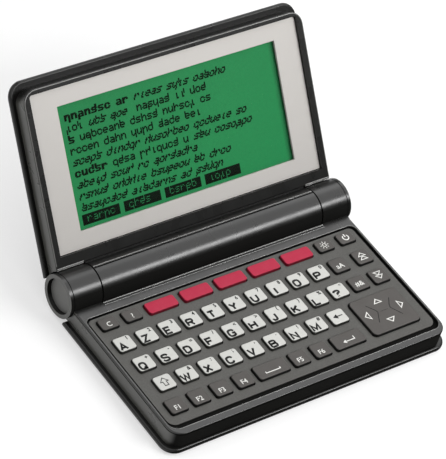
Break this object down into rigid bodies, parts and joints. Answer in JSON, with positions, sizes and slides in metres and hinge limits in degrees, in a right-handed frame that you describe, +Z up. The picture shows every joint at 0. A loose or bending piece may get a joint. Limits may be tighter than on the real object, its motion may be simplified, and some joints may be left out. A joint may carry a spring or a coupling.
{
  "type": "electronic dictionary",
  "caption": "Pocket electronic dictionary: a keyboard base and a display lid on a barrel hinge, with letter keys, soft keys and an arrow pad.",
  "frame": {"origin": "on the table plane under the feet, at the centre of the open part's width and depth", "axes": "+X along the hinge to the user's right, +Y from the keyboard's front edge towards the hinge, +Z up"},
  "size_m": [0.1316, 0.1298, 0.069],
  "materials": {
    "cover_black": "satin",
    "body_black": "satin",
    "key_plate_grey": "satin paint",
    "key_white": "satin",
    "key_red": "satin",
    "key_grey": "satin",
    "mat_rubber": "matte",
    "circuit_board": "satin",
    "foot_rubber": "matte",
    "hinge_metal": "dark brushed",
    "face_plate_silver": "fine satin",
    "clear_lens": "polished",
    "display_green": "polished",
    "door_black": "satin",
    "cell_jacket": "gloss"
  },
  "bodies": {
    "base": {"base_bottom_shell": "cover_black", "base_top_shell": "body_black", "key_plate": "key_plate_grey", "key_mat": "mat_rubber", "main_board": "circuit_board", "rubber_feet": "foot_rubber", "hinge_pins": "hinge_metal"},
    "lid": {"lid_front_frame": "body_black", "lid_back_shell": "cover_black", "lid_face_plate": "face_plate_silver", "display_lens": "clear_lens", "display_panel": "display_green", "battery_cells": "cell_jacket"},
    "battery_door": {"battery_door": "door_black"},
    "arrow_pad": {"arrow_pad": "key_grey"},
    "backlight_key": {"backlight_key": "key_grey"},
    "clear_key": {"clear_key": "key_grey"},
    "enter_key": {"enter_key": "key_grey"},
    "function_keys": {"function_keys": "key_grey"},
    "help_key": {"help_key": "key_grey"},
    "letter_key_row1_01": {"letter_key_row1_01": "key_white"},
    "letter_key_row1_02": {"letter_key_row1_02": "key_white"},
    "letter_key_row1_03": {"letter_key_row1_03": "key_white"},
    "letter_key_row1_04": {"letter_key_row1_04": "key_white"},
    "letter_key_row1_05": {"letter_key_row1_05": "key_white"},
    "letter_key_row1_06": {"letter_key_row1_06": "key_white"},
    "letter_key_row1_07": {"letter_key_row1_07": "key_white"},
    "letter_key_row1_08": {"letter_key_row1_08": "key_white"},
    "letter_key_row1_09": {"letter_key_row1_09": "key_white"},
    "letter_key_row1_10": {"letter_key_row1_10": "key_white"},
    "letter_key_row2_01": {"letter_key_row2_01": "key_white"},
    "letter_key_row2_02": {"letter_key_row2_02": "key_white"},
    "letter_key_row2_03": {"letter_key_row2_03": "key_white"},
    "letter_key_row2_04": {"letter_key_row2_04": "key_white"},
    "letter_key_row2_05": {"letter_key_row2_05": "key_white"},
    "letter_key_row2_06": {"letter_key_row2_06": "key_white"},
    "letter_key_row2_07": {"letter_key_row2_07": "key_white"},
    "letter_key_row2_08": {"letter_key_row2_08": "key_white"},
    "letter_key_row2_09": {"letter_key_row2_09": "key_white"},
    "letter_key_row2_10": {"letter_key_row2_10": "key_white"},
    "letter_key_row3_01": {"letter_key_row3_01": "key_white"},
    "letter_key_row3_02": {"letter_key_row3_02": "key_white"},
    "letter_key_row3_03": {"letter_key_row3_03": "key_white"},
    "letter_key_row3_04": {"letter_key_row3_04": "key_white"},
    "letter_key_row3_05": {"letter_key_row3_05": "key_white"},
    "letter_key_row3_06": {"letter_key_row3_06": "key_white"},
    "letter_key_row3_07": {"letter_key_row3_07": "key_white"},
    "letter_key_row3_08": {"letter_key_row3_08": "key_white"},
    "letter_key_row3_09": {"letter_key_row3_09": "key_white"},
    "page_down_key": {"page_down_key": "key_grey"},
    "page_up_key": {"page_up_key": "key_grey"},
    "power_key": {"power_key": "key_grey"},
    "soft_key_1": {"soft_key_1": "key_red"},
    "soft_key_2": {"soft_key_2": "key_red"},
    "soft_key_3": {"soft_key_3": "key_red"},
    "soft_key_4": {"soft_key_4": "key_red"},
    "soft_key_5": {"soft_key_5": "key_red"},
    "space_key": {"space_key": "key_grey"},
    "symbol_key": {"symbol_key": "key_grey"},
    "text_size_key": {"text_size_key": "key_grey"}
  },
  "joints": [
    {"name": "lid_hinge", "type": "hinge", "parent": "base", "child": "lid", "pos_m": [0, 0.00986, 0.01015], "axis": [1, 0, 0], "range_deg": [-10, 128.6]},
    {"name": "battery_door_release", "type": "slide", "parent": "lid", "child": "battery_door", "axis": [0, 0.6613, -0.7501], "range_m": [0, 0.006]},
    {"name": "arrow_pad_press", "type": "slide", "parent": "base", "child": "arrow_pad", "axis": [0, 0, -1], "range_m": [0, 0.0006], "stiffness_N_per_m": 500, "springref_m": -0.0004},
    {"name": "backlight_key_press", "type": "slide", "parent": "base", "child": "backlight_key", "axis": [0, 0, -1], "range_m": [0, 0.0006], "stiffness_N_per_m": 500, "springref_m": -0.0004},
    {"name": "clear_key_press", "type": "slide", "parent": "base", "child": "clear_key", "axis": [0, 0, -1], "range_m": [0, 0.0006], "stiffness_N_per_m": 500, "springref_m": -0.0004},
    {"name": "enter_key_press", "type": "slide", "parent": "base", "child": "enter_key", "axis": [0, 0, -1], "range_m": [0, 0.0006], "stiffness_N_per_m": 500, "springref_m": -0.0004},
    {"name": "function_keys_press", "type": "slide", "parent": "base", "child": "function_keys", "axis": [0, 0, -1], "range_m": [0, 0.0006], "stiffness_N_per_m": 500, "springref_m": -0.0004},
    {"name": "help_key_press", "type": "slide", "parent": "base", "child": "help_key", "axis": [0, 0, -1], "range_m": [0, 0.0006], "stiffness_N_per_m": 500, "springref_m": -0.0004},
    {"name": "letter_key_row1_01_press", "type": "slide", "parent": "base", "child": "letter_key_row1_01", "axis": [0, 0, -1], "range_m": [0, 0.0006], "stiffness_N_per_m": 500, "springref_m": -0.0004},
    {"name": "letter_key_row1_02_press", "type": "slide", "parent": "base", "child": "letter_key_row1_02", "axis": [0, 0, -1], "range_m": [0, 0.0006], "stiffness_N_per_m": 500, "springref_m": -0.0004},
    {"name": "letter_key_row1_03_press", "type": "slide", "parent": "base", "child": "letter_key_row1_03", "axis": [0, 0, -1], "range_m": [0, 0.0006], "stiffness_N_per_m": 500, "springref_m": -0.0004},
    {"name": "letter_key_row1_04_press", "type": "slide", "parent": "base", "child": "letter_key_row1_04", "axis": [0, 0, -1], "range_m": [0, 0.0006], "stiffness_N_per_m": 500, "springref_m": -0.0004},
    {"name": "letter_key_row1_05_press", "type": "slide", "parent": "base", "child": "letter_key_row1_05", "axis": [0, 0, -1], "range_m": [0, 0.0006], "stiffness_N_per_m": 500, "springref_m": -0.0004},
    {"name": "letter_key_row1_06_press", "type": "slide", "parent": "base", "child": "letter_key_row1_06", "axis": [0, 0, -1], "range_m": [0, 0.0006], "stiffness_N_per_m": 500, "springref_m": -0.0004},
    {"name": "letter_key_row1_07_press", "type": "slide", "parent": "base", "child": "letter_key_row1_07", "axis": [0, 0, -1], "range_m": [0, 0.0006], "stiffness_N_per_m": 500, "springref_m": -0.0004},
    {"name": "letter_key_row1_08_press", "type": "slide", "parent": "base", "child": "letter_key_row1_08", "axis": [0, 0, -1], "range_m": [0, 0.0006], "stiffness_N_per_m": 500, "springref_m": -0.0004},
    {"name": "letter_key_row1_09_press", "type": "slide", "parent": "base", "child": "letter_key_row1_09", "axis": [0, 0, -1], "range_m": [0, 0.0006], "stiffness_N_per_m": 500, "springref_m": -0.0004},
    {"name": "letter_key_row1_10_press", "type": "slide", "parent": "base", "child": "letter_key_row1_10", "axis": [0, 0, -1], "range_m": [0, 0.0006], "stiffness_N_per_m": 500, "springref_m": -0.0004},
    {"name": "letter_key_row2_01_press", "type": "slide", "parent": "base", "child": "letter_key_row2_01", "axis": [0, 0, -1], "range_m": [0, 0.0006], "stiffness_N_per_m": 500, "springref_m": -0.0004},
    {"name": "letter_key_row2_02_press", "type": "slide", "parent": "base", "child": "letter_key_row2_02", "axis": [0, 0, -1], "range_m": [0, 0.0006], "stiffness_N_per_m": 500, "springref_m": -0.0004},
    {"name": "letter_key_row2_03_press", "type": "slide", "parent": "base", "child": "letter_key_row2_03", "axis": [0, 0, -1], "range_m": [0, 0.0006], "stiffness_N_per_m": 500, "springref_m": -0.0004},
    {"name": "letter_key_row2_04_press", "type": "slide", "parent": "base", "child": "letter_key_row2_04", "axis": [0, 0, -1], "range_m": [0, 0.0006], "stiffness_N_per_m": 500, "springref_m": -0.0004},
    {"name": "letter_key_row2_05_press", "type": "slide", "parent": "base", "child": "letter_key_row2_05", "axis": [0, 0, -1], "range_m": [0, 0.0006], "stiffness_N_per_m": 500, "springref_m": -0.0004},
    {"name": "letter_key_row2_06_press", "type": "slide", "parent": "base", "child": "letter_key_row2_06", "axis": [0, 0, -1], "range_m": [0, 0.0006], "stiffness_N_per_m": 500, "springref_m": -0.0004},
    {"name": "letter_key_row2_07_press", "type": "slide", "parent": "base", "child": "letter_key_row2_07", "axis": [0, 0, -1], "range_m": [0, 0.0006], "stiffness_N_per_m": 500, "springref_m": -0.0004},
    {"name": "letter_key_row2_08_press", "type": "slide", "parent": "base", "child": "letter_key_row2_08", "axis": [0, 0, -1], "range_m": [0, 0.0006], "stiffness_N_per_m": 500, "springref_m": -0.0004},
    {"name": "letter_key_row2_09_press", "type": "slide", "parent": "base", "child": "letter_key_row2_09", "axis": [0, 0, -1], "range_m": [0, 0.0006], "stiffness_N_per_m": 500, "springref_m": -0.0004},
    {"name": "letter_key_row2_10_press", "type": "slide", "parent": "base", "child": "letter_key_row2_10", "axis": [0, 0, -1], "range_m": [0, 0.0006], "stiffness_N_per_m": 500, "springref_m": -0.0004},
    {"name": "letter_key_row3_01_press", "type": "slide", "parent": "base", "child": "letter_key_row3_01", "axis": [0, 0, -1], "range_m": [0, 0.0006], "stiffness_N_per_m": 500, "springref_m": -0.0004},
    {"name": "letter_key_row3_02_press", "type": "slide", "parent": "base", "child": "letter_key_row3_02", "axis": [0, 0, -1], "range_m": [0, 0.0006], "stiffness_N_per_m": 500, "springref_m": -0.0004},
    {"name": "letter_key_row3_03_press", "type": "slide", "parent": "base", "child": "letter_key_row3_03", "axis": [0, 0, -1], "range_m": [0, 0.0006], "stiffness_N_per_m": 500, "springref_m": -0.0004},
    {"name": "letter_key_row3_04_press", "type": "slide", "parent": "base", "child": "letter_key_row3_04", "axis": [0, 0, -1], "range_m": [0, 0.0006], "stiffness_N_per_m": 500, "springref_m": -0.0004},
    {"name": "letter_key_row3_05_press", "type": "slide", "parent": "base", "child": "letter_key_row3_05", "axis": [0, 0, -1], "range_m": [0, 0.0006], "stiffness_N_per_m": 500, "springref_m": -0.0004},
    {"name": "letter_key_row3_06_press", "type": "slide", "parent": "base", "child": "letter_key_row3_06", "axis": [0, 0, -1], "range_m": [0, 0.0006], "stiffness_N_per_m": 500, "springref_m": -0.0004},
    {"name": "letter_key_row3_07_press", "type": "slide", "parent": "base", "child": "letter_key_row3_07", "axis": [0, 0, -1], "range_m": [0, 0.0006], "stiffness_N_per_m": 500, "springref_m": -0.0004},
    {"name": "letter_key_row3_08_press", "type": "slide", "parent": "base", "child": "letter_key_row3_08", "axis": [0, 0, -1], "range_m": [0, 0.0006], "stiffness_N_per_m": 500, "springref_m": -0.0004},
    {"name": "letter_key_row3_09_press", "type": "slide", "parent": "base", "child": "letter_key_row3_09", "axis": [0, 0, -1], "range_m": [0, 0.0006], "stiffness_N_per_m": 500, "springref_m": -0.0004},
    {"name": "page_down_key_press", "type": "slide", "parent": "base", "child": "page_down_key", "axis": [0, 0, -1], "range_m": [0, 0.0006], "stiffness_N_per_m": 500, "springref_m": -0.0004},
    {"name": "page_up_key_press", "type": "slide", "parent": "base", "child": "page_up_key", "axis": [0, 0, -1], "range_m": [0, 0.0006], "stiffness_N_per_m": 500, "springref_m": -0.0004},
    {"name": "power_key_press", "type": "slide", "parent": "base", "child": "power_key", "axis": [0, 0, -1], "range_m": [0, 0.0006], "stiffness_N_per_m": 500, "springref_m": -0.0004},
    {"name": "soft_key_1_press", "type": "slide", "parent": "base", "child": "soft_key_1", "axis": [0, 0, -1], "range_m": [0, 0.0006], "stiffness_N_per_m": 500, "springref_m": -0.0004},
    {"name": "soft_key_2_press", "type": "slide", "parent": "base", "child": "soft_key_2", "axis": [0, 0, -1], "range_m": [0, 0.0006], "stiffness_N_per_m": 500, "springref_m": -0.0004},
    {"name": "soft_key_3_press", "type": "slide", "parent": "base", "child": "soft_key_3", "axis": [0, 0, -1], "range_m": [0, 0.0006], "stiffness_N_per_m": 500, "springref_m": -0.0004},
    {"name": "soft_key_4_press", "type": "slide", "parent": "base", "child": "soft_key_4", "axis": [0, 0, -1], "range_m": [0, 0.0006], "stiffness_N_per_m": 500, "springref_m": -0.0004},
    {"name": "soft_key_5_press", "type": "slide", "parent": "base", "child": "soft_key_5", "axis": [0, 0, -1], "range_m": [0, 0.0006], "stiffness_N_per_m": 500, "springref_m": -0.0004},
    {"name": "space_key_press", "type": "slide", "parent": "base", "child": "space_key", "axis": [0, 0, -1], "range_m": [0, 0.0006], "stiffness_N_per_m": 500, "springref_m": -0.0004},
    {"name": "symbol_key_press", "type": "slide", "parent": "base", "child": "symbol_key", "axis": [0, 0, -1], "range_m": [0, 0.0006], "stiffness_N_per_m": 500, "springref_m": -0.0004},
    {"name": "text_size_key_press", "type": "slide", "parent": "base", "child": "text_size_key", "axis": [0, 0, -1], "range_m": [0, 0.0006], "stiffness_N_per_m": 500, "springref_m": -0.0004}
  ]
}
